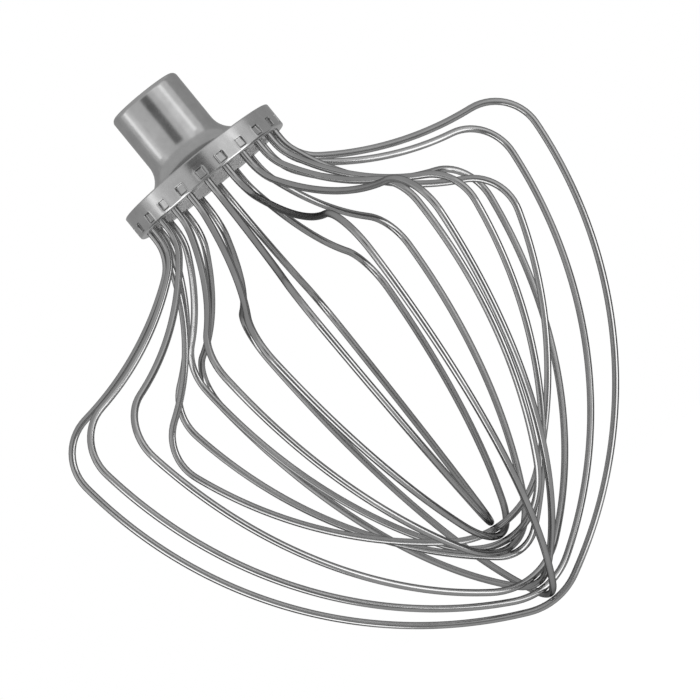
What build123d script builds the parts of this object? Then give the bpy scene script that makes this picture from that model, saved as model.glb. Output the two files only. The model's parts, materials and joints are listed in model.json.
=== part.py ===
from build123d import *
from collections import namedtuple
from math import hypot
import os

# Wire whisk for a stand mixer: a turned hub and eleven wire loops staked into its rim.
# Millimetres. +Z runs up the shaft, the loops hang down, and the origin lies on the shaft's
# axis at mid height of the rim. Depths are measured down from there.

# Hub
bore_diameter = 13.0
collar_diameter = 20.4
collar_top = 25.0
collar_bottom = 9.8
collar_top_round = 1.4
rim_diameter = 46.4
rim_height = 6.8
rim_upper_round = 0.4
rim_lower_round = 0.6
underside_recess_diameter = 36.0
underside_recess_depth = 3.2

# Slot in the collar for the drive pin of the shaft, on the side away from the front
pin_slot_width = 5.0
pin_slot_depth = 11.0
pin_slot_turn = 60.0
pin_slot_azimuth = 90.0

# Wire and the holes that hold its ends
wire_diameter = 1.85
wire_clearance = 0.05
wire_circle_diameter = 41.0
wire_seat_depth = 5.0

# Stake marks, one over each wire end
stake_width = 2.4
stake_height = 2.6
stake_depth = 0.5
stake_level = -1.2

# Bends next to the hub, and the gap between loops that cross at the tip
straight_end = 5.6
throat_radius = 11.5
stack_gap = 0.15

# The two families of loops: half width, depths of shoulders and tip, and radii of the bends
Family = namedtuple("Family", "reach shoulder_depth tip_depth flare shoulder side nose")
outer_family = Family(
    reach=73.0, shoulder_depth=44.2, tip_depth=140.2, flare=82.0, shoulder=12.4, side=118.3, nose=21.4
)
inner_family = Family(
    reach=52.2, shoulder_depth=47.3, tip_depth=124.8, flare=61.0, shoulder=12.4, side=116.0, nose=23.6
)

# One line per loop, the deepest tip first. The slot counts round the hub from the front. The
# rest is how the hand-bent loop departs from its family: its reach to the right and to the
# left, the depth of its shoulders, the radius of its nose and the lean of the nose to the right.
Loop = namedtuple("Loop", "slot right left lower rounder lean")
outer_loops = [
    Loop(slot=6, right=1.0, left=1.0, lower=-2.0, rounder=-4.0, lean=0.5),
    Loop(slot=1, right=4.0, left=2.0, lower=-1.0, rounder=0.0, lean=1.0),
    Loop(slot=7, right=-2.5, left=-1.0, lower=-1.0, rounder=-1.0, lean=0.5),
    Loop(slot=2, right=2.0, left=-2.5, lower=1.5, rounder=-0.5, lean=-0.5),
    Loop(slot=8, right=-3.5, left=-3.5, lower=3.0, rounder=5.5, lean=-0.5),
]
inner_loops = [
    Loop(slot=4, right=1.5, left=-2.0, lower=0.5, rounder=-12.5, lean=2.0),
    Loop(slot=9, right=-0.5, left=-3.0, lower=-3.0, rounder=1.0, lean=1.0),
    Loop(slot=3, right=-2.5, left=-3.5, lower=-6.0, rounder=5.0, lean=3.0),
    Loop(slot=10, right=5.5, left=-1.0, lower=0.5, rounder=4.5, lean=1.0),
    Loop(slot=5, right=4.5, left=0.5, lower=7.0, rounder=0.5, lean=3.0),
    Loop(slot=0, right=0.0, left=0.5, lower=0.5, rounder=0.0, lean=0.0),
]

# Sizes that follow
loop_count = len(outer_loops) + len(inner_loops)
slot_pitch = 180.0 / loop_count
front_azimuth = -90.0
stack_pitch = wire_diameter + stack_gap
wire_circle_radius = wire_circle_diameter / 2
rim_radius = rim_diameter / 2
rim_top = rim_height / 2
rim_bottom = -rim_height / 2
seat_level = rim_bottom + wire_seat_depth
collar_radius = collar_diameter / 2
flare_radius = collar_bottom - rim_top
match_tolerance = 0.001


def meeting_points(centre_a, radius_a, centre_b, radius_b):
    """The two points where two circles cross, each as (r, z)."""
    dx = centre_b[0] - centre_a[0]
    dz = centre_b[1] - centre_a[1]
    apart = hypot(dx, dz)
    along = (apart**2 + radius_a**2 - radius_b**2) / (2 * apart)
    aside = (radius_a**2 - along**2) ** 0.5
    foot_r = centre_a[0] + dx * along / apart
    foot_z = centre_a[1] + dz * along / apart
    shift_r = -dz * aside / apart
    shift_z = dx * aside / apart
    return (foot_r + shift_r, foot_z + shift_z), (foot_r - shift_r, foot_z - shift_z)


def on_circle(centre, radius, toward):
    """The point of a circle in the direction from its centre to another point."""
    length = hypot(toward[0] - centre[0], toward[1] - centre[1])
    share = radius / length
    return (
        centre[0] + (toward[0] - centre[0]) * share,
        centre[1] + (toward[1] - centre[1]) * share,
    )


def beyond(centre, radius, other):
    """The point of a circle on the side away from another point."""
    return on_circle(centre, radius, (2 * centre[0] - other[0], 2 * centre[1] - other[1]))


def arc_on(centre, radius, start, end, side):
    """An arc between two points of a circle, laid out on one side of the axis."""
    middle = on_circle(centre, radius, ((start[0] + end[0]) / 2, (start[1] + end[1]) / 2))
    return ThreePointArc(*[(side * r, 0, z) for r, z in (start, middle, end)])


def half_loop(family, loop, tip_depth, side):
    """Edges of half a loop from the hub to the nose, and the point where the nose starts.

    Each bend is an arc tangent to the next: throat, flare, shoulder, flank and nose.
    """
    reach = family.reach + (loop.right if side > 0 else loop.left)
    nose_radius = family.nose + loop.rounder
    nose_height = (nose_radius**2 - loop.lean**2) ** 0.5
    throat = (wire_circle_radius + throat_radius, -straight_end)
    shoulder = (reach - family.shoulder, -family.shoulder_depth - loop.lower)
    nose = (side * loop.lean, nose_height - tip_depth)
    flare = max(
        meeting_points(
            throat, family.flare - throat_radius, shoulder, family.flare + family.shoulder
        ),
        key=lambda point: point[1],
    )
    flank = min(
        meeting_points(
            shoulder, family.side - family.shoulder, nose, family.side - nose_radius
        ),
        key=lambda point: point[0],
    )
    seat = (wire_circle_radius, seat_level)
    throat_start = (wire_circle_radius, -straight_end)
    flare_start = beyond(throat, throat_radius, flare)
    shoulder_start = on_circle(flare, family.flare, shoulder)
    flank_start = on_circle(flank, family.side, shoulder)
    nose_start = on_circle(flank, family.side, nose)
    edges = [
        Line((side * seat[0], 0, seat[1]), (side * throat_start[0], 0, throat_start[1])),
        arc_on(throat, throat_radius, throat_start, flare_start, side),
        arc_on(flare, family.flare, flare_start, shoulder_start, side),
        arc_on(shoulder, family.shoulder, shoulder_start, flank_start, side),
        arc_on(flank, family.side, flank_start, nose_start, side),
    ]
    return edges, (side * nose_start[0], 0, nose_start[1])


def wire_loop(family, loop, level):
    """One loop of round wire, bent in a plane through the axis."""
    tip_depth = family.tip_depth - level * stack_pitch
    right, right_nose = half_loop(family, loop, tip_depth, 1)
    left, left_nose = half_loop(family, loop, tip_depth, -1)
    nose = ThreePointArc(right_nose, (0, 0, -tip_depth), left_nose)
    path = Wire(right + [nose] + left[::-1])
    section = Plane(right[0] @ 0, z_dir=right[0] % 0) * Circle(wire_diameter / 2)
    return Rot(0, 0, loop_azimuth(loop.slot)) * sweep(section, path=path)


def loop_azimuth(slot):
    """Azimuth of the loop's right leg; slots go from the front leg round to the right."""
    azimuth = front_azimuth + slot * slot_pitch
    return azimuth + 180.0 if slot == 0 else azimuth


def pin_slot():
    """Cutter for the bayonet slot: down from the top of the collar, then round it."""
    half_width = pin_slot_width / 2
    turn_level = collar_top - pin_slot_depth + half_width
    entry = Pos(collar_radius / 2, 0, turn_level) * Box(
        collar_radius, pin_slot_width, collar_top - turn_level,
        align=(Align.MIN, Align.CENTER, Align.MIN),
    )
    corner = Pos(collar_radius / 2, 0, turn_level) * Rot(0, 90, 0) * Cylinder(
        half_width, collar_radius, align=(Align.CENTER, Align.CENTER, Align.MIN)
    )
    band = Plane.XZ * Pos(collar_radius, turn_level) * Rectangle(collar_radius, pin_slot_width)
    turn = revolve(band, axis=Axis.Z, revolution_arc=pin_slot_turn)
    end = Rot(0, 0, pin_slot_turn) * corner
    return Rot(0, 0, pin_slot_azimuth) * (entry + corner + turn + end)


def hub_body():
    """The turned hub: collar, concave flare and rim, with its bore and underside recess."""
    bore_radius = bore_diameter / 2
    recess_radius = underside_recess_diameter / 2
    recess_level = rim_bottom + underside_recess_depth
    flare_end = collar_radius + flare_radius
    flare_middle = (
        flare_end - flare_radius * 0.5**0.5,
        collar_bottom - flare_radius * 0.5**0.5,
    )
    outline = [
        Line((bore_radius, recess_level), (bore_radius, collar_top)),
        Line((bore_radius, collar_top), (collar_radius, collar_top)),
        Line((collar_radius, collar_top), (collar_radius, collar_bottom)),
        ThreePointArc((collar_radius, collar_bottom), flare_middle, (flare_end, rim_top)),
        Line((flare_end, rim_top), (rim_radius, rim_top)),
        Line((rim_radius, rim_top), (rim_radius, rim_bottom)),
        Line((rim_radius, rim_bottom), (recess_radius, rim_bottom)),
        Line((recess_radius, rim_bottom), (recess_radius, recess_level)),
        Line((recess_radius, recess_level), (bore_radius, recess_level)),
    ]
    profile = make_face(Plane.XZ * Wire(outline))
    body = revolve(profile, axis=Axis.Z)
    body = fillet(outer_circles(body, rim_radius)[0], rim_lower_round)
    body = fillet(outer_circles(body, rim_radius)[-1], rim_upper_round)
    return fillet(outer_circles(body, collar_radius)[-1], collar_top_round)


def outer_circles(body, radius):
    """The round edges of a turned body that have the given radius, the lowest first."""
    circles = body.edges().filter_by(GeomType.CIRCLE)
    matches = circles.filter_by(lambda edge: abs(edge.radius - radius) < match_tolerance)
    return matches.sort_by(Axis.Z)


def hub():
    """The hub with its pin slot, wire holes and stake marks."""
    body = hub_body()
    wire_hole = Pos(wire_circle_radius, 0, rim_bottom) * Cylinder(
        wire_diameter / 2 + wire_clearance, wire_seat_depth,
        align=(Align.CENTER, Align.CENTER, Align.MIN),
    )
    stake = Pos(rim_radius - stake_depth, 0, stake_level) * Box(
        rim_radius, stake_width, stake_height, align=(Align.MIN, Align.CENTER, Align.CENTER)
    )
    around = [Rot(0, 0, front_azimuth + slot * slot_pitch) for slot in range(2 * loop_count)]
    cutters = [place * wire_hole for place in around]
    cutters += [place * stake for place in around]
    return body - pin_slot() - cutters


def main():
    os.makedirs("parts", exist_ok=True)
    pieces = {"hub": hub()}
    for level, loop in enumerate(outer_loops):
        pieces[f"outer_loop_{level + 1}"] = wire_loop(outer_family, loop, level)
    for level, loop in enumerate(inner_loops):
        pieces[f"inner_loop_{level + 1}"] = wire_loop(inner_family, loop, level)
    for name, solid in pieces.items():
        export_step(solid, f"parts/{name}.step")


main()
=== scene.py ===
import json
import math
from collections import namedtuple

import bpy
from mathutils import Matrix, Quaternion, Vector


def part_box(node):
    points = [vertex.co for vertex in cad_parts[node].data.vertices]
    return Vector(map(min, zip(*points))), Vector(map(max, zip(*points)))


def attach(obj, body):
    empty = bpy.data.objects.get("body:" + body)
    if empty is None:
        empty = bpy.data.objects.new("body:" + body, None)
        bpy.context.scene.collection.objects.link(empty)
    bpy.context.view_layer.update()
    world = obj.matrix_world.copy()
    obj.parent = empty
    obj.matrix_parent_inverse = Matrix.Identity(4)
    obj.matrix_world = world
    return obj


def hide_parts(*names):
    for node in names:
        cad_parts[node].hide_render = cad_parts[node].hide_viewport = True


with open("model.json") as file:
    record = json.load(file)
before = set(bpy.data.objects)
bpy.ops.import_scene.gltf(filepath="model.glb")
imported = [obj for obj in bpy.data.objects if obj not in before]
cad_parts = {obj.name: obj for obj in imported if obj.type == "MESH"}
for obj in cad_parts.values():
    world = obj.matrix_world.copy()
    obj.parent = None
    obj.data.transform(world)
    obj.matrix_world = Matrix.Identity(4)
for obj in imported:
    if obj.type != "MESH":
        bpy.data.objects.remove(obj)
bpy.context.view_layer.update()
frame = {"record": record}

# Looks of a wire whisk for a stand mixer: a turned steel hub and eleven loops of drawn wire.
# Lengths of the part are in millimetres, as in its source, and meshes are made in metres.
# Lengths of the studio are in metres, and angles are in degrees.
MM = 0.001

# Hub, read from the frame
hub_low, hub_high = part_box("hub")
shaft_bore = next(mount for mount in frame["record"]["mounts"] if mount["name"] == "shaft_bore")
bore_radius = shaft_bore["dims"]["r_mm"]
rim_radius = hub_high.x / MM
collar_top = hub_high.z / MM
rim_bottom = hub_low.z / MM
rim_top = -rim_bottom

# Hub, as in the part's source
collar_radius = 10.2
collar_bottom = 9.8
collar_top_round = 1.4
rim_upper_round = 0.4
rim_lower_round = 0.6
recess_radius = 18.0
recess_depth = 3.2
recess_level = rim_bottom + recess_depth
pin_slot_width = 5.0
pin_slot_depth = 11.0
pin_slot_turn = 60.0
pin_slot_azimuth = 90.0

# Eased edges, which the source leaves sharp
bore_chamfer = 0.3
pin_slot_chamfer = 0.25

# Stake marks in the rim, as in the source
stake_width = 2.4
stake_height = 2.6
stake_depth = 0.5
stake_level = -1.2

# Finer form of the stake marks: rounded corners, soft walls, a sloping floor and a raised lip.
# The lip's place is counted in widths of the wall, and the zone is how far in the marks reach.
stake_corner = 0.3
stake_wall = 0.25
stake_tilt = 0.12
stake_zone = 0.75
lip_height = 0.04
lip_place = 0.6
lip_sharpness = 3.0

# Mesh of the hub: steps along its section, and lines from the middle of a stake mark outwards
coarse_step = 2.0
face_step = 1.0
recess_step = 0.75
rim_step = 0.6
flare_step = 0.5
collar_round_step = 0.2
rim_lower_step = 0.12
rim_upper_step = 0.1
stake_lines = (0.0, 0.5, 0.9, 1.0, 1.1, 1.2, 1.3, 1.4, 1.5)
gap_lines = (1.8, 2.2, 2.7)
match_tolerance = 0.01
sharp_angle = 40.0

# Bodies that cut the slot and the wire holes
slot_steps = 12
hole_sides = 24
cutter_overrun = 1.0
cutter_reach = 16.0

# Wire loops, as in the source
wire_diameter = 1.85
wire_clearance = 0.05
wire_circle_radius = 20.5
wire_seat_depth = 5.0
straight_end = 5.6
throat_radius = 11.5
stack_gap = 0.15
stack_pitch = wire_diameter + stack_gap

Family = namedtuple("Family", "reach shoulder_depth tip_depth flare shoulder side nose")
outer_family = Family(
    reach=73.0,
    shoulder_depth=44.2,
    tip_depth=140.2,
    flare=82.0,
    shoulder=12.4,
    side=118.3,
    nose=21.4,
)
inner_family = Family(
    reach=52.2,
    shoulder_depth=47.3,
    tip_depth=124.8,
    flare=61.0,
    shoulder=12.4,
    side=116.0,
    nose=23.6,
)

# How each loop departs from its family, the deepest tip first
Loop = namedtuple("Loop", "slot right left lower rounder lean")
outer_loops = [
    Loop(slot=6, right=1.0, left=1.0, lower=-2.0, rounder=-4.0, lean=0.5),
    Loop(slot=1, right=4.0, left=2.0, lower=-1.0, rounder=0.0, lean=1.0),
    Loop(slot=7, right=-2.5, left=-1.0, lower=-1.0, rounder=-1.0, lean=0.5),
    Loop(slot=2, right=2.0, left=-2.5, lower=1.5, rounder=-0.5, lean=-0.5),
    Loop(slot=8, right=-3.5, left=-3.5, lower=3.0, rounder=5.5, lean=-0.5),
]
inner_loops = [
    Loop(slot=4, right=1.5, left=-2.0, lower=0.5, rounder=-12.5, lean=2.0),
    Loop(slot=9, right=-0.5, left=-3.0, lower=-3.0, rounder=1.0, lean=1.0),
    Loop(slot=3, right=-2.5, left=-3.5, lower=-6.0, rounder=5.0, lean=3.0),
    Loop(slot=10, right=5.5, left=-1.0, lower=0.5, rounder=4.5, lean=1.0),
    Loop(slot=5, right=4.5, left=0.5, lower=7.0, rounder=0.5, lean=3.0),
    Loop(slot=0, right=0.0, left=0.5, lower=0.5, rounder=0.0, lean=0.0),
]
loop_count = len(outer_loops) + len(inner_loops)
slot_pitch = 180.0 / loop_count
front_azimuth = -90.0
leg_azimuths = [front_azimuth + leg * slot_pitch for leg in range(2 * loop_count)]

# Mesh of the wires
wire_sides = 20
wire_step = 1.4

# Finish of the hub. A pair holds the lowest and the highest value, and a scale is per metre.
hub_grey = (0.42, 0.48)
hub_roughness = (0.17, 0.25)
hub_edge_tint = 0.8
ring_scale = 4200.0
ring_height = 2e-6
ring_share = 0.7
mottle_scale = 260.0
# Painted shade on the walls of the stake marks: a near-black grey, mixed in at this share
stake_painted_shade_grey = 0.02
stake_painted_shade_share = 0.5
# Painted light in the recess under the hub: a lighter grey than the steel's own
recess_painted_light_grey = 0.55
recess_roughening = 3.0
recess_margin = 0.05

# Finish of the wire. The pace is how fast the drawn lines change along a metre of it.
wire_grey = (0.33, 0.39)
wire_roughness = (0.11, 0.18)
wire_edge_tint = 0.25
line_scale = 9.0
line_pace = 18.0
line_height = 1.2e-6
tone_scale = 90.0

# Noise of both finishes, with the span that most of its values lie in
fine_detail = 4.0
coarse_detail = 3.0
noise_roughness = 0.6
noise_span = (0.3, 0.7)

# Camera, aimed at the axis of the whisk
camera_target = Vector((0.0, 0.0, -0.0584))
camera_distance = 1.3117
camera_azimuth = 2.06
camera_elevation = -1.53
camera_roll = -39.26
camera_lens = 265.75
camera_sensor = 36.0
camera_near = 0.05
camera_far = 50.0

# Floor, white background, and the lamp that casts the shadow
floor_level = -0.32
floor_half_width = 8.0
floor_grey = 0.9
floor_glow = 0.41
world_light = 0.4
lamp_height = 1.2
lamp_angle = 9.0
lamp_strength = 0.9

# Upright walls of the light tent, between two bearings to the right of the front. Each one
# stands from the floor to the tent's roof, unless it has a low or a high end of its own.
tent_radius = 2.2
tent_height = 1.5
tent_step = 4.0
gap_low = -0.12
gap_high = 0.45
rise_high = 0.75
lamp_high = 0.6
Wall = namedtuple("Wall", "name start end strength low high", defaults=(floor_level, tent_height))
tent_walls = [
    Wall("front_low", start=-12.0, end=15.0, strength=0.6, high=gap_low),
    Wall("front_gap", start=-12.0, end=15.0, strength=0.13, low=gap_low, high=gap_high),
    Wall("front_rise", start=-12.0, end=15.0, strength=0.4, low=gap_high, high=rise_high),
    Wall("front_high", start=-12.0, end=15.0, strength=0.7, low=rise_high),
    Wall("left_wall", start=-56.0, end=-12.0, strength=0.8),
    Wall("left_wall_far", start=-70.0, end=-56.0, strength=1.0),
    Wall("left_lamp", start=-81.0, end=-70.0, strength=1.8, high=lamp_high),
    Wall("left_lamp_top", start=-81.0, end=-70.0, strength=0.85, low=lamp_high),
    Wall("left_shoulder", start=-96.0, end=-81.0, strength=0.75),
    Wall("left_back", start=-168.0, end=-96.0, strength=0.5),
    Wall("right_wall", start=15.0, end=34.0, strength=0.85),
    Wall("right_wall_far", start=34.0, end=55.0, strength=1.1),
    Wall("right_lamp", start=55.0, end=66.0, strength=1.7, high=lamp_high),
    Wall("right_lamp_top", start=55.0, end=66.0, strength=0.85, low=lamp_high),
    Wall("right_shoulder", start=66.0, end=88.0, strength=0.95),
    Wall("right_back", start=88.0, end=168.0, strength=0.48),
    Wall("back", start=168.0, end=192.0, strength=0.45),
]

# Level cards of the light tent. The lamp and side patches are repeated on the left.
roof_strength = 0.62
ground_level = floor_level + 0.02
ground_strength = 0.65
front_patch = [(-0.7, -0.8), (0.7, -0.8), (0.7, -0.24), (-0.7, -0.24)]
front_patch_strength = 0.28
side_patch = [(0.2, -0.05), (1.4, -0.38), (1.4, 0.8), (0.2, 0.12)]
side_patch_strength = 0.15
dark_patch_level = ground_level + 0.005
lamp_patch = [(0.14, -0.06), (1.2, -0.34), (1.2, -1.6), (0.14, -0.24)]
lamp_patch_strength = 2.9
lamp_patch_level = ground_level + 0.01


# Paths of the wires


def meeting_points(centre_a, radius_a, centre_b, radius_b):
    """The two points where two circles cross, each as (r, z)."""
    dx = centre_b[0] - centre_a[0]
    dz = centre_b[1] - centre_a[1]
    apart = math.hypot(dx, dz)
    along = (apart**2 + radius_a**2 - radius_b**2) / (2 * apart)
    aside = math.sqrt(radius_a**2 - along**2)
    foot_r = centre_a[0] + dx * along / apart
    foot_z = centre_a[1] + dz * along / apart
    shift_r = -dz * aside / apart
    shift_z = dx * aside / apart
    return (foot_r + shift_r, foot_z + shift_z), (foot_r - shift_r, foot_z - shift_z)


def on_circle(centre, radius, toward):
    """The point of a circle in the direction from its centre to another point."""
    share = radius / math.hypot(toward[0] - centre[0], toward[1] - centre[1])
    return (
        centre[0] + (toward[0] - centre[0]) * share,
        centre[1] + (toward[1] - centre[1]) * share,
    )


def arc_points(centre, radius, start, end, step):
    """Points along the shorter arc between two points of a circle, without the first one."""
    first = math.atan2(start[1] - centre[1], start[0] - centre[0])
    sweep = math.atan2(end[1] - centre[1], end[0] - centre[0]) - first
    sweep = math.remainder(sweep, 2 * math.pi)
    count = max(2, math.ceil(abs(sweep) * radius / step))
    angles = [first + sweep * i / count for i in range(1, count + 1)]
    return [(centre[0] + radius * math.cos(a), centre[1] + radius * math.sin(a)) for a in angles]


def line_points(start, end, step):
    """Points along a line, without the first one."""
    count = max(1, math.ceil(math.hypot(end[0] - start[0], end[1] - start[1]) / step))
    shares = [i / count for i in range(1, count + 1)]
    return [
        (start[0] + (end[0] - start[0]) * s, start[1] + (end[1] - start[1]) * s) for s in shares
    ]


def half_path(family, loop, tip_depth, side):
    """Points (r, z) of half a loop, from its seat in the rim to the middle of the nose."""
    reach = family.reach + (loop.right if side > 0 else loop.left)
    nose_radius = family.nose + loop.rounder
    nose_height = math.sqrt(nose_radius**2 - loop.lean**2)
    seat = (wire_circle_radius, rim_bottom + wire_seat_depth)
    throat_start = (wire_circle_radius, -straight_end)
    throat = (wire_circle_radius + throat_radius, -straight_end)
    shoulder = (reach - family.shoulder, -family.shoulder_depth - loop.lower)
    nose = (side * loop.lean, nose_height - tip_depth)
    flare_choices = meeting_points(
        throat, family.flare - throat_radius, shoulder, family.flare + family.shoulder
    )
    flare = max(flare_choices, key=lambda point: point[1])
    flank_choices = meeting_points(
        shoulder, family.side - family.shoulder, nose, family.side - nose_radius
    )
    flank = min(flank_choices, key=lambda point: point[0])
    away = (2 * throat[0] - flare[0], 2 * throat[1] - flare[1])
    flare_start = on_circle(throat, throat_radius, away)
    shoulder_start = on_circle(flare, family.flare, shoulder)
    flank_start = on_circle(flank, family.side, shoulder)
    nose_start = on_circle(flank, family.side, nose)
    path = [seat]
    path += line_points(seat, throat_start, wire_step)
    path += arc_points(throat, throat_radius, throat_start, flare_start, wire_step)
    path += arc_points(flare, family.flare, flare_start, shoulder_start, wire_step)
    path += arc_points(shoulder, family.shoulder, shoulder_start, flank_start, wire_step)
    path += arc_points(flank, family.side, flank_start, nose_start, wire_step)
    path += arc_points(nose, nose_radius, nose_start, (0.0, -tip_depth), wire_step)
    return path


def loop_path(family, loop, level):
    """Points (x, z) of a whole loop in its own plane, from its right leg to its left one."""
    tip_depth = family.tip_depth - level * stack_pitch
    right = half_path(family, loop, tip_depth, 1)
    left = half_path(family, loop, tip_depth, -1)
    return right + [(-r, z) for r, z in reversed(left[:-1])]


def loop_azimuth(slot):
    """Azimuth of the loop's right leg; slot 0 has it at the back."""
    azimuth = leg_azimuths[slot]
    return azimuth + 180.0 if slot == 0 else azimuth


# Meshes


def mesh_object(name, points, faces, uv_name=None, uvs=None):
    """A smooth mesh object from points in millimetres."""
    mesh = bpy.data.meshes.new(name)
    mesh.from_pydata([(x * MM, y * MM, z * MM) for x, y, z in points], [], faces)
    if uvs:
        layer = mesh.uv_layers.new(name=uv_name)
        flat = [value for corner in uvs for value in corner]
        layer.data.foreach_set("uv", flat)
    mesh.shade_smooth()
    piece = bpy.data.objects.new(name, mesh)
    bpy.context.scene.collection.objects.link(piece)
    return piece


def wire_piece(name, path, azimuth):
    """A tube of round wire along a flat path, with its length and turn kept as UVs."""
    across = Vector((math.cos(math.radians(azimuth)), math.sin(math.radians(azimuth)), 0.0))
    side = Vector((-across.y, across.x, 0.0))
    up = Vector((0.0, 0.0, 1.0))
    spine = [across * x + up * z for x, z in path]
    lengths = [0.0]
    for before, after in zip(spine, spine[1:]):
        lengths.append(lengths[-1] + (after - before).length)
    points = []
    for i, centre in enumerate(spine):
        ahead = spine[min(i + 1, len(spine) - 1)] - spine[max(i - 1, 0)]
        inward = side.cross(ahead.normalized())
        for j in range(wire_sides):
            turn = 2 * math.pi * j / wire_sides
            offset = inward * math.cos(turn) + side * math.sin(turn)
            points.append(tuple(centre + offset * (wire_diameter / 2)))
    faces = []
    uvs = []
    for i in range(len(spine) - 1):
        ring = i * wire_sides
        next_ring = ring + wire_sides
        for j in range(wire_sides):
            k = (j + 1) % wire_sides
            faces.append((ring + j, ring + k, next_ring + k, next_ring + j))
            for length, turn in ((i, j), (i, j + 1), (i + 1, j + 1), (i + 1, j)):
                uvs.append((lengths[length] * MM, turn / wire_sides))
    last_ring = (len(spine) - 1) * wire_sides
    faces.append(tuple(range(wire_sides - 1, -1, -1)))
    faces.append(tuple(range(last_ring, last_ring + wire_sides)))
    uvs += [(0.0, 0.0)] * wire_sides
    uvs += [(lengths[-1] * MM, 0.0)] * wire_sides
    return mesh_object(name, points, faces, "wire", uvs)


def both_sides(offsets):
    """Offsets from a middle to one side, the first of them 0, laid out on both sides of it."""
    return [-offset for offset in reversed(offsets[1:])] + list(offsets)


def hub_outline():
    """Rows (r, z) of the hub's closed section, starting inside at the foot of the bore."""
    flare_radius = collar_bottom - rim_top
    flare_end = collar_radius + flare_radius
    collar_centre = (collar_radius - collar_top_round, collar_top - collar_top_round)
    upper_centre = (rim_radius - rim_upper_round, rim_top - rim_upper_round)
    lower_centre = (rim_radius - rim_lower_round, rim_bottom + rim_lower_round)
    stake_rows = [stake_level - offset for offset in both_sides(stake_lines)]
    rows = [(bore_radius, recess_level)]

    def line_to(point, step):
        rows.extend(line_points(rows[-1], point, step))

    def arc_to(centre, radius, point, step):
        rows.extend(arc_points(centre, radius, rows[-1], point, step))

    line_to((bore_radius, collar_top - bore_chamfer), coarse_step)
    line_to((bore_radius + bore_chamfer, collar_top), coarse_step)
    line_to((collar_centre[0], collar_top), face_step)
    arc_to(collar_centre, collar_top_round, (collar_radius, collar_centre[1]), collar_round_step)
    line_to((collar_radius, collar_bottom), face_step)
    arc_to((flare_end, collar_bottom), flare_radius, (flare_end, rim_top), flare_step)
    line_to((upper_centre[0], rim_top), rim_step)
    arc_to(upper_centre, rim_upper_round, (rim_radius, upper_centre[1]), rim_upper_step)
    line_to((rim_radius, stake_rows[0]), rim_step)
    rows.extend((rim_radius, z) for z in stake_rows[1:])
    line_to((rim_radius, lower_centre[1]), rim_step)
    arc_to(lower_centre, rim_lower_round, (lower_centre[0], rim_bottom), rim_lower_step)
    line_to((recess_radius, rim_bottom), face_step)
    line_to((recess_radius, recess_level), recess_step)
    line_to((bore_radius, recess_level), coarse_step)
    return rows[:-1]


def hub_columns():
    """Columns of the hub's mesh: azimuth, and distance along the rim from a stake's middle."""
    half_sector = math.pi * rim_radius / (2 * loop_count)
    offsets = both_sides(stake_lines + gap_lines) + [half_sector]
    columns = []
    for azimuth in leg_azimuths:
        columns += [(math.radians(azimuth) + offset / rim_radius, offset) for offset in offsets]
    return columns


def stake_distance(along, up):
    """Distance from the outline of a stake mark, negative inside it."""
    beyond_x = abs(along) - stake_width / 2 + stake_corner
    beyond_z = abs(up - stake_level) - stake_height / 2 + stake_corner
    outside = math.hypot(max(beyond_x, 0.0), max(beyond_z, 0.0))
    return outside + min(max(beyond_x, beyond_z), 0.0) - stake_corner


def stake_relief(along, up):
    """How far the rim's face lies inside its cylinder, at a distance from a stake's middle."""
    distance = stake_distance(along, up)
    share = min(max(-distance / stake_wall, 0.0), 1.0)
    depth = stake_depth + stake_tilt * (up - stake_level)
    lip = 0.0
    if distance > 0:
        lip = lip_height * math.exp(-lip_sharpness * (distance / stake_wall - lip_place) ** 2)
    return depth * share * share * (3 - 2 * share) - lip


def stake_shade(place):
    """How much painted shade the steel gets at a point of the hub: 1 on the walls of the stake
    marks, else 0.
    """
    radius = math.hypot(place.x, place.y) / MM
    turns = (math.degrees(math.atan2(place.y, place.x)) - front_azimuth) / slot_pitch
    along = math.radians((turns - round(turns)) * slot_pitch) * rim_radius
    off_wall = abs(stake_distance(along, place.z / MM) + stake_wall / 2) / stake_wall
    on_rim = radius > rim_radius - stake_zone
    return max(0.0, 1.0 - off_wall) if on_rim else 0.0


def turned_body(name):
    """The hub's section turned round the axis, with a mark pressed in over each wire end."""
    rows = hub_outline()
    columns = hub_columns()
    points = []
    for azimuth, along in columns:
        for r, z in rows:
            on_rim = r > rim_radius - match_tolerance
            radius = r - stake_relief(along, z) if on_rim else r
            points.append((radius * math.cos(azimuth), radius * math.sin(azimuth), z))
    faces = []
    count = len(rows)
    for i in range(len(columns)):
        here = i * count
        there = ((i + 1) % len(columns)) * count
        for j in range(count):
            k = (j + 1) % count
            faces.append((here + j, here + k, there + k, there + j))
    return mesh_object(name, points, faces)


def slot_ring(radius, half_width):
    """Points of the pin slot's outline on a cylinder of some radius round the axis.

    The first corner has its points at half steps, so that none meets a column of the hub.
    """
    level = collar_top - pin_slot_depth + pin_slot_width / 2
    over = collar_top + cutter_overrun
    turn = math.radians(pin_slot_turn)
    side = math.asin(half_width / radius)
    step = math.pi / 2 / slot_steps
    outline = [(-side, over)]
    for i in range(slot_steps):
        bend = step * (i + 0.5)
        across = math.asin(half_width * math.cos(bend) / radius)
        outline.append((-across, level - half_width * math.sin(bend)))
    outline += [(turn * i / slot_steps, level - half_width) for i in range(1, slot_steps)]
    for i in range(2 * slot_steps + 1):
        bend = step * i
        across = math.asin(half_width * math.sin(bend) / radius)
        outline.append((turn + across, level - half_width * math.cos(bend)))
    back = (side - turn) / slot_steps
    outline += [(turn + back * i, level + half_width) for i in range(1, slot_steps + 1)]
    outline.append((side, over))
    start = math.radians(pin_slot_azimuth)
    return [(radius * math.cos(start + a), radius * math.sin(start + a), z) for a, z in outline]


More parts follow.
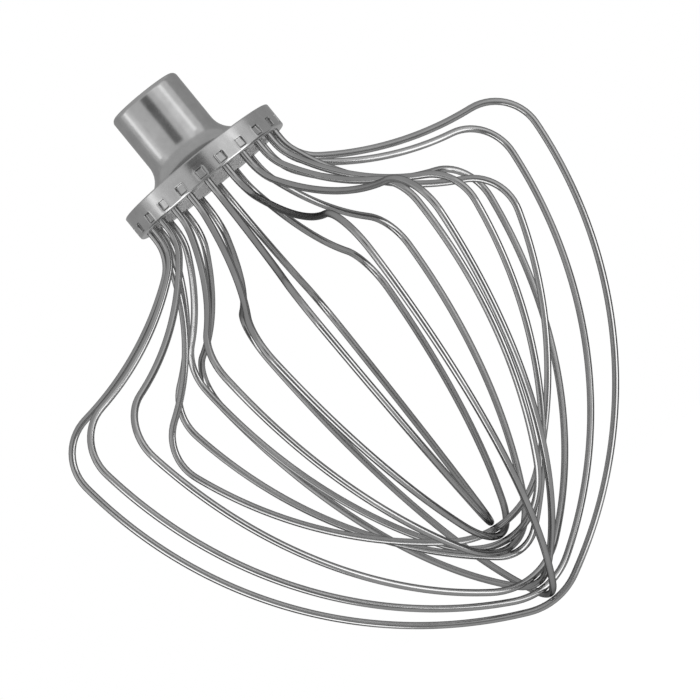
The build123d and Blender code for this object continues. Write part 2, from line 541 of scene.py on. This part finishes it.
def slot_cutter():
    """Points and faces of a body that cuts the pin slot and eases its outer edge."""
    half_width = pin_slot_width / 2
    wide = half_width + pin_slot_chamfer + cutter_overrun
    rings = [
        slot_ring(bore_radius - cutter_overrun, half_width),
        slot_ring(collar_radius - pin_slot_chamfer, half_width),
        slot_ring(collar_radius + cutter_overrun, wide),
        slot_ring(cutter_reach, wide),
    ]
    count = len(rings[0])
    points = [point for ring in rings for point in ring]
    faces = []
    for layer in range(len(rings) - 1):
        low = layer * count
        high = low + count
        for i in range(count):
            k = (i + 1) % count
            faces.append((low + i, low + k, high + k, high + i))
    middle = math.radians(pin_slot_azimuth + pin_slot_turn / 2)
    apex_level = collar_top - pin_slot_depth / 2
    for radius, ring in ((-bore_radius / 2, 0), (2 * cutter_reach, len(rings) - 1)):
        apex = len(points)
        points.append((radius * math.cos(middle), radius * math.sin(middle), apex_level))
        for i in range(count):
            pair = (ring * count + i, ring * count + (i + 1) % count)
            faces.append((apex,) + (pair if ring else pair[::-1]))
    return points, faces


def add_hole(points, faces, azimuth):
    """Add a body that cuts the blind hole of one wire end.

    Its points lie at half steps, so that none meets a column of the hub.
    """
    hole_radius = wire_diameter / 2 + wire_clearance
    bearing = math.radians(azimuth)
    first = len(points)
    for z in (rim_bottom - cutter_overrun, rim_bottom + wire_seat_depth):
        for i in range(hole_sides):
            turn = 2 * math.pi * (i + 0.5) / hole_sides
            x = wire_circle_radius * math.cos(bearing) + hole_radius * math.cos(turn)
            y = wire_circle_radius * math.sin(bearing) + hole_radius * math.sin(turn)
            points.append((x, y, z))
    low = list(range(first, first + hole_sides))
    high = list(range(first + hole_sides, first + 2 * hole_sides))
    faces.append(tuple(reversed(low)))
    faces.append(tuple(high))
    for i in range(hole_sides):
        k = (i + 1) % hole_sides
        faces.append((low[i], low[k], high[k], high[i]))


def cut(piece, cutter):
    """Take a body out of a piece for good, and remove that body."""
    modifier = piece.modifiers.new("cut", "BOOLEAN")
    modifier.operation = "DIFFERENCE"
    modifier.solver = "EXACT"
    modifier.object = cutter
    graph = bpy.context.evaluated_depsgraph_get()
    mesh = bpy.data.meshes.new_from_object(piece.evaluated_get(graph))
    piece.modifiers.clear()
    piece.data = mesh
    bpy.data.objects.remove(cutter)


def hub_piece(name):
    """The turned hub with its slot and holes, and the painted shade of its stake marks at each
    point.
    """
    hub = turned_body(name)
    points, faces = slot_cutter()
    for azimuth in leg_azimuths:
        add_hole(points, faces, azimuth)
    cut(hub, mesh_object("cutter", points, faces))
    hub.data.set_sharp_from_angle(angle=math.radians(sharp_angle))
    # Painted shade for the walls of the stake marks, kept at each point for the material
    shade = hub.data.attributes.new("stake_shade", "FLOAT", "POINT")
    shade.data.foreach_set("value", [stake_shade(vertex.co) for vertex in hub.data.vertices])
    return hub


# Materials


def add_node(tree, kind, inputs=None, **settings):
    """A node with its settings, and with its inputs set to values or linked to sockets."""
    node = tree.nodes.new(kind)
    for key, value in settings.items():
        setattr(node, key, value)
    for key, value in (inputs or {}).items():
        if isinstance(value, bpy.types.NodeSocket):
            tree.links.new(value, node.inputs[key])
        else:
            node.inputs[key].default_value = value
    return node


def new_material(name):
    """An empty node material and its tree."""
    material = bpy.data.materials.new(name)
    material.use_nodes = True
    material.node_tree.nodes.clear()
    return material, material.node_tree


def show(tree, surface):
    """Make a shader the surface of a material."""
    add_node(tree, "ShaderNodeOutputMaterial", {"Surface": surface})


def grey(level):
    """A grey as a colour with alpha."""
    return (level, level, level, 1.0)


def math_node(tree, operation, first, second=0.0):
    """The result of an operation on one or two values."""
    return add_node(tree, "ShaderNodeMath", {0: first, 1: second}, operation=operation).outputs[0]


def blend(tree, factor, first, second):
    """A colour that runs from the first to the second as the factor goes from 0 to 1."""
    # A mix node takes its two colours in inputs 6 and 7, and gives a colour in output 2
    inputs = {"Factor": factor, 6: first, 7: second}
    return add_node(tree, "ShaderNodeMix", inputs, data_type="RGBA").outputs[2]


def remap(tree, value, old_range, new_range):
    """A value taken from one range to another, and kept inside it."""
    names = ("From Min", "From Max", "To Min", "To Max")
    inputs = {"Value": value, **dict(zip(names, old_range + new_range))}
    return add_node(tree, "ShaderNodeMapRange", inputs).outputs["Result"]


def noise(tree, vector, scale, detail):
    """Noise of some scale at a place."""
    inputs = {"Vector": vector, "Scale": scale, "Detail": detail, "Roughness": noise_roughness}
    return add_node(tree, "ShaderNodeTexNoise", inputs).outputs["Fac"]


def noise_colour(tree, value, greys):
    """A grey that follows noise."""
    factor = remap(tree, value, noise_span, (0.0, 1.0))
    return blend(tree, factor, grey(greys[0]), grey(greys[1]))


def show_metal(tree, colour, roughness, height, bump_distance, edge_tint):
    """A metal surface from its colour, roughness and height, and its tint at grazing angles."""
    bump = add_node(
        tree, "ShaderNodeBump", {"Height": height, "Strength": 1.0, "Distance": bump_distance}
    )
    metal = add_node(
        tree,
        "ShaderNodeBsdfPrincipled",
        {
            "Base Color": colour,
            "Roughness": roughness,
            "Metallic": 1.0,
            "Specular Tint": grey(edge_tint),
            "Normal": bump.outputs["Normal"],
        },
    )
    show(tree, metal.outputs["BSDF"])


def turned_steel():
    """Satin steel off a lathe: fine rings round the axis over a faint mottle.

    The walls of the stake marks get painted shade; the recess under the hub is rougher and gets
    painted light, a lighter grey.
    """
    material, tree = new_material("turned_steel")
    place = add_node(tree, "ShaderNodeTexCoord").outputs["Object"]
    parts = add_node(tree, "ShaderNodeSeparateXYZ", {"Vector": place}).outputs
    squares = math_node(
        tree,
        "ADD",
        math_node(tree, "MULTIPLY", parts["X"], parts["X"]),
        math_node(tree, "MULTIPLY", parts["Y"], parts["Y"]),
    )
    radius = math_node(tree, "SQRT", squares)
    section = add_node(tree, "ShaderNodeCombineXYZ", {"X": radius, "Y": parts["Z"]}).outputs[0]
    rings = noise(tree, section, ring_scale, fine_detail)
    mottle = noise(tree, place, mottle_scale, coarse_detail)
    in_recess = math_node(
        tree,
        "MULTIPLY",
        math_node(tree, "LESS_THAN", radius, (recess_radius + recess_margin) * MM),
        math_node(tree, "LESS_THAN", parts["Z"], (recess_level + recess_margin) * MM),
    )
    # Painted light: the recess under the hub takes a lighter grey than the steel
    skin = blend(tree, in_recess, noise_colour(tree, mottle, hub_grey), grey(recess_painted_light_grey))
    # Painted shade: the walls of the stake marks are darkened towards a near-black grey
    shade = add_node(tree, "ShaderNodeAttribute", attribute_name="stake_shade").outputs["Fac"]
    shade = math_node(tree, "MULTIPLY", shade, stake_painted_shade_share)
    colour = blend(tree, shade, skin, grey(stake_painted_shade_grey))
    unevenness = math_node(
        tree,
        "ADD",
        remap(tree, rings, noise_span, (0.0, ring_share)),
        remap(tree, mottle, noise_span, (0.0, 1.0 - ring_share)),
    )
    satin = remap(tree, unevenness, (0.0, 1.0), hub_roughness)
    roughening = math_node(tree, "MULTIPLY", in_recess, recess_roughening - 1.0)
    roughening = math_node(tree, "ADD", roughening, 1.0)
    roughness = math_node(tree, "MULTIPLY", satin, roughening)
    show_metal(tree, colour, roughness, rings, ring_height, hub_edge_tint)
    return material


def drawn_steel():
    """Bright drawn wire: fine lines along its length and a slow change of tone."""
    material, tree = new_material("drawn_steel")
    uv = add_node(tree, "ShaderNodeUVMap", uv_map="wire").outputs["UV"]
    parts = add_node(tree, "ShaderNodeSeparateXYZ", {"Vector": uv}).outputs
    turn = math_node(tree, "MULTIPLY", parts["Y"], 2 * math.pi)
    on_wire = add_node(
        tree,
        "ShaderNodeCombineXYZ",
        {
            "X": math_node(tree, "MULTIPLY", parts["X"], line_pace),
            "Y": math_node(tree, "COSINE", turn),
            "Z": math_node(tree, "SINE", turn),
        },
    ).outputs[0]
    lines = noise(tree, on_wire, line_scale, fine_detail)
    place = add_node(tree, "ShaderNodeTexCoord").outputs["Object"]
    tone = noise(tree, place, tone_scale, coarse_detail)
    colour = noise_colour(tree, tone, wire_grey)
    roughness = remap(tree, lines, (0.0, 1.0), wire_roughness)
    show_metal(tree, colour, roughness, lines, line_height, wire_edge_tint)
    return material


# Studio


def seen_directly(tree):
    """1 on rays that should see the white background: camera, mirror and glass rays."""
    path = add_node(tree, "ShaderNodeLightPath").outputs
    either = math_node(tree, "MAXIMUM", path["Is Camera Ray"], path["Is Glossy Ray"])
    return math_node(tree, "MAXIMUM", either, path["Is Transmission Ray"])


def shader_choice(tree, otherwise, seen):
    """One shader for the rays that see the background, and another for the rest."""
    inputs = {"Fac": seen_directly(tree), 1: otherwise.outputs[0], 2: seen.outputs[0]}
    return add_node(tree, "ShaderNodeMixShader", inputs).outputs[0]


def white_world():
    """A world that shows white and gives a plain, even light."""
    world = bpy.data.worlds.new("studio")
    world.use_nodes = True
    tree = world.node_tree
    tree.nodes.clear()
    lit = add_node(tree, "ShaderNodeBackground", {"Color": grey(1.0), "Strength": world_light})
    shown = add_node(tree, "ShaderNodeBackground", {"Color": grey(1.0), "Strength": 1.0})
    add_node(tree, "ShaderNodeOutputWorld", {"Surface": shader_choice(tree, lit, shown)})
    bpy.context.scene.world = world


def square(half_width):
    """Corners of a square round the axis, in plan."""
    low = -half_width
    return [(low, low), (half_width, low), (half_width, half_width), (low, half_width)]


def level_face(name, corners, height):
    """A level face with the given corners in plan."""
    points = [(x / MM, y / MM, height / MM) for x, y in corners]
    return mesh_object(name, points, [tuple(range(len(corners)))])


def pale_floor():
    """A wide pale floor that reads as white and still takes a shadow."""
    material, tree = new_material("floor")
    paint = add_node(tree, "ShaderNodeBsdfDiffuse", {"Color": grey(floor_grey)})
    glow = add_node(tree, "ShaderNodeEmission", {"Color": grey(1.0), "Strength": floor_glow})
    both = add_node(tree, "ShaderNodeAddShader", {0: paint.outputs[0], 1: glow.outputs[0]})
    show(tree, shader_choice(tree, paint, both))
    floor = level_face("floor", square(floor_half_width), floor_level)
    floor.data.materials.append(material)


def make_card(card, strength):
    """Turn a face into a card of the light tent, which only reflections and the light show."""
    material, tree = new_material(card.name)
    light = add_node(tree, "ShaderNodeEmission", {"Color": grey(1.0), "Strength": strength})
    show(tree, light.outputs[0])
    card.data.materials.append(material)
    card.visible_camera = False
    card.visible_shadow = False
    card.visible_diffuse = False


def tent_wall(wall):
    """An upright card of the light tent, curved round the whisk."""
    count = max(2, math.ceil((wall.end - wall.start) / tent_step))
    radius = tent_radius / MM
    points = []
    for i in range(count + 1):
        bearing = math.radians(wall.start + (wall.end - wall.start) * i / count)
        x = radius * math.sin(bearing)
        y = -radius * math.cos(bearing)
        points += [(x, y, wall.low / MM), (x, y, wall.high / MM)]
    faces = [(2 * i, 2 * i + 2, 2 * i + 3, 2 * i + 1) for i in range(count)]
    make_card(mesh_object(wall.name, points, faces), wall.strength)


def level_card(name, corners, height, strength):
    """A level card of the light tent."""
    make_card(level_face(name, corners, height), strength)


def light_tent():
    """Bright and dark cards all round the whisk, for its steel to reflect."""
    for wall in tent_walls:
        tent_wall(wall)
    room = square(tent_radius)
    level_card("roof", room, tent_height, roof_strength)
    level_card("ground", room, ground_level, ground_strength)
    level_card("dark_ground", front_patch, dark_patch_level, front_patch_strength)
    for name, corners, height, strength in (
        ("ground_lamp", lamp_patch, lamp_patch_level, lamp_patch_strength),
        ("dark_ground", side_patch, dark_patch_level, side_patch_strength),
    ):
        level_card(f"right_{name}", corners, height, strength)
        level_card(f"left_{name}", [(-x, y) for x, y in corners], height, strength)


def top_lamp():
    """A soft lamp far overhead, for the shadow on the floor."""
    light = bpy.data.lights.new("top_lamp", "SUN")
    light.angle = math.radians(lamp_angle)
    light.energy = lamp_strength
    lamp = bpy.data.objects.new("top_lamp", light)
    lamp.location = (0.0, 0.0, lamp_height)
    lamp.visible_glossy = False
    bpy.context.scene.collection.objects.link(lamp)


def whisk_camera():
    """A camera that looks at the whisk as the photograph does."""
    data = bpy.data.cameras.new("camera")
    data.lens = camera_lens
    data.sensor_width = camera_sensor
    data.clip_start = camera_near
    data.clip_end = camera_far
    azimuth = math.radians(camera_azimuth)
    elevation = math.radians(camera_elevation)
    back = Vector(
        (
            math.sin(azimuth) * math.cos(elevation),
            -math.cos(azimuth) * math.cos(elevation),
            math.sin(elevation),
        )
    )
    camera = bpy.data.objects.new("camera", data)
    camera.location = camera_target + back * camera_distance
    camera.rotation_mode = "QUATERNION"
    level = (-back).to_track_quat("-Z", "Y")
    camera.rotation_quaternion = level @ Quaternion((0.0, 0.0, 1.0), math.radians(camera_roll))
    bpy.context.scene.collection.objects.link(camera)
    bpy.context.scene.camera = camera


# The whisk


def dress_hub():
    """The hub with its looks, in place of its solid."""
    hub = hub_piece("turned_hub")
    hub.data.materials.append(turned_steel())
    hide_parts("hub")
    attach(hub, "root")


def dress_loops():
    """The wire loops with their looks, in place of their solids."""
    steel = drawn_steel()
    for group, family, loops in (
        ("outer", outer_family, outer_loops),
        ("inner", inner_family, inner_loops),
    ):
        for level, loop in enumerate(loops):
            path = loop_path(family, loop, level)
            wire = wire_piece(f"{group}_wire_{level + 1}", path, loop_azimuth(loop.slot))
            wire.data.materials.append(steel)
            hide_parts(f"{group}_loop_{level + 1}")
            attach(wire, "root")


dress_hub()
dress_loops()
white_world()
pale_floor()
light_tent()
top_lamp()
whisk_camera()
bpy.context.scene.view_settings.view_transform = "Standard"
